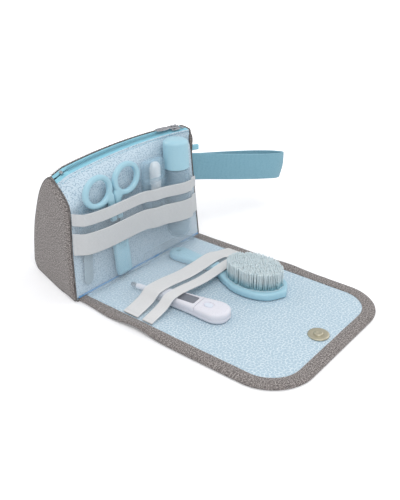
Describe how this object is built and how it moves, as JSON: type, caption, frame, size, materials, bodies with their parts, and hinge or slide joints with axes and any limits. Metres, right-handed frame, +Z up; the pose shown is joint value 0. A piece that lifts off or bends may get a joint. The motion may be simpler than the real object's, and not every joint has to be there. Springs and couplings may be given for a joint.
{
  "type": "baby grooming kit",
  "caption": "Wedge-shaped zipped wash bag, its front flap folded down to the table, with baby care tools held upright and flat under elastic bands in clear pockets.",
  "frame": {"origin": "middle of the flat underside of the bag's base, on the table", "axes": "+X along the flap's fold towards the wrist strap, +Y from the flap's tip towards the back of the bag, +Z up"},
  "size_m": [0.3135, 0.3341, 0.1411],
  "materials": {
    "tweed_fabric": "woven, matt",
    "lining_fabric": "printed, matt",
    "zip_tape": "woven, matt",
    "webbing": "ribbed, matt",
    "elastic": "ribbed, matt",
    "clear_film": "clear, glossy",
    "nickel": "polished",
    "champagne_metal": "satin",
    "steel": "brushed",
    "blue_plastic": "semi-gloss",
    "clear_plastic": "clear, glossy",
    "white_plastic": "semi-gloss",
    "silicone": "matt",
    "bristle": "matt",
    "dark_window": "dark, glossy",
    "circuit_board": "satin"
  },
  "bodies": {
    "bag": {"front_panel": "lining_fabric", "back_panel": "tweed_fabric", "base_panel": "tweed_fabric", "left_gusset": "tweed_fabric", "right_gusset": "tweed_fabric", "zip_tape_front": "zip_tape", "zip_tape_back": "zip_tape", "zip_coil_front": "zip_tape", "zip_coil_back": "zip_tape", "zip_stop_left": "nickel", "zip_stop_right": "nickel", "snap_socket": "champagne_metal", "strap_anchor_tab": "webbing", "front_pocket_film": "clear_film", "front_wide_band": "elastic", "front_narrow_band": "elastic"},
    "slider": {"zip_slider": "nickel"},
    "pull": {"zip_pull": "nickel"},
    "strap": {"wrist_strap": "webbing"},
    "flap_lower": {"flap_lower_shell": "tweed_fabric", "flap_lower_lining": "lining_fabric", "flap_pocket_film": "clear_film", "flap_wide_band": "elastic", "flap_narrow_band": "elastic"},
    "flap_tip": {"flap_tip_shell": "tweed_fabric", "flap_tip_lining": "lining_fabric", "snap_washer": "nickel", "snap_stud": "champagne_metal"},
    "scissors": {"scissor_blade_right": "steel", "scissor_handle_right": "blue_plastic", "scissor_pivot_screw": "steel", "scissor_blade_cap": "blue_plastic"},
    "scissors_half": {"scissor_blade_left": "steel", "scissor_handle_left": "blue_plastic"},
    "nail_file": {"nail_file_handle": "clear_plastic", "nail_file_blade": "steel"},
    "case": {"finger_brush_case": "clear_plastic", "finger_brush": "silicone", "finger_brush_stand": "clear_plastic"},
    "case_lid": {"finger_brush_case_lid": "clear_plastic"},
    "aspirator": {"aspirator_bottle": "clear_plastic", "aspirator_seal": "silicone", "aspirator_nozzle": "silicone"},
    "aspirator_cap": {"aspirator_cap": "blue_plastic"},
    "brush": {"brush_body": "blue_plastic", "brush_bristles": "bristle"},
    "thermometer": {"thermometer_upper_shell": "white_plastic", "thermometer_lower_shell": "white_plastic", "thermometer_battery_door": "white_plastic", "thermometer_cell": "nickel", "thermometer_window": "dark_window", "thermometer_board": "circuit_board", "thermometer_probe": "silicone", "thermometer_metal_tip": "steel"},
    "thermometer_button": {"thermometer_button": "white_plastic"}
  },
  "joints": [
    {"name": "flap_fold", "type": "hinge", "parent": "bag", "child": "flap_lower", "pos_m": [0, -0.045, 0.004], "axis": [-1, 0, 0], "range_deg": [0, 24], "deforming": ["front_pocket_film", "flap_pocket_film"]},
    {"name": "flap_tip_fold", "type": "hinge", "parent": "flap_lower", "child": "flap_tip", "pos_m": [0, -0.213, 0.004], "axis": [-1, 0, 0], "range_deg": [0, 95]},
    {"name": "zip_slide", "type": "hinge", "parent": "bag", "child": "slider", "pos_m": [0.05601, -0.03273, -0.46786], "axis": [0.1676, 0.9859, 0], "range_deg": [-12.48, 0]},
    {"name": "pull_flip", "type": "hinge", "parent": "slider", "child": "pull", "pos_m": [0.06717, -0.03567, 0.1387], "axis": [0.1665, 0.9492, 0.2672], "range_deg": [0, 150]},
    {"name": "strap_swing", "type": "hinge", "parent": "bag", "child": "strap", "pos_m": [0.08982, -0.0346, 0.0865], "axis": [-0.0982, 0.0387, 0.9944], "range_deg": [-30, 40]},
    {"name": "scissors_slide", "type": "slide", "parent": "bag", "child": "scissors", "axis": [0.0767, -0.0299, -0.9966], "range_m": [-0.085, 0]},
    {"name": "scissors_open", "type": "hinge", "parent": "scissors", "child": "scissors_half", "pos_m": [-0.038, -0.05004, 0.062], "axis": [0, -0.9995, 0.03], "range_deg": [0, 4.5]},
    {"name": "nail_file_slide", "type": "slide", "parent": "bag", "child": "nail_file", "axis": [-0.0802, -0.0299, -0.9963], "range_m": [-0.08, 0]},
    {"name": "case_slide", "type": "slide", "parent": "bag", "child": "case", "axis": [0, -0.03, -0.9995], "range_m": [-0.07, 0]},
    {"name": "case_lid_lift", "type": "slide", "parent": "case", "child": "case_lid", "axis": [0, 0.03, 0.9995], "range_m": [0, 0.02]},
    {"name": "aspirator_slide", "type": "slide", "parent": "bag", "child": "aspirator", "axis": [0, -0.03, -0.9995], "range_m": [-0.11, 0]},
    {"name": "aspirator_cap_lift", "type": "slide", "parent": "aspirator", "child": "aspirator_cap", "axis": [0, 0.03, 0.9995], "range_m": [0, 0.034]},
    {"name": "brush_slide", "type": "slide", "parent": "flap_lower", "child": "brush", "axis": [0, 1, 0], "range_m": [-0.08, 0]},
    {"name": "thermometer_slide", "type": "slide", "parent": "flap_lower", "child": "thermometer", "axis": [-0.1149, 0.9934, 0], "range_m": [-0.075, 0]},
    {"name": "thermometer_button_press", "type": "slide", "parent": "thermometer", "child": "thermometer_button", "axis": [0, 0, -1], "range_m": [0, 0.0006], "stiffness_N_per_m": 500}
  ]
}
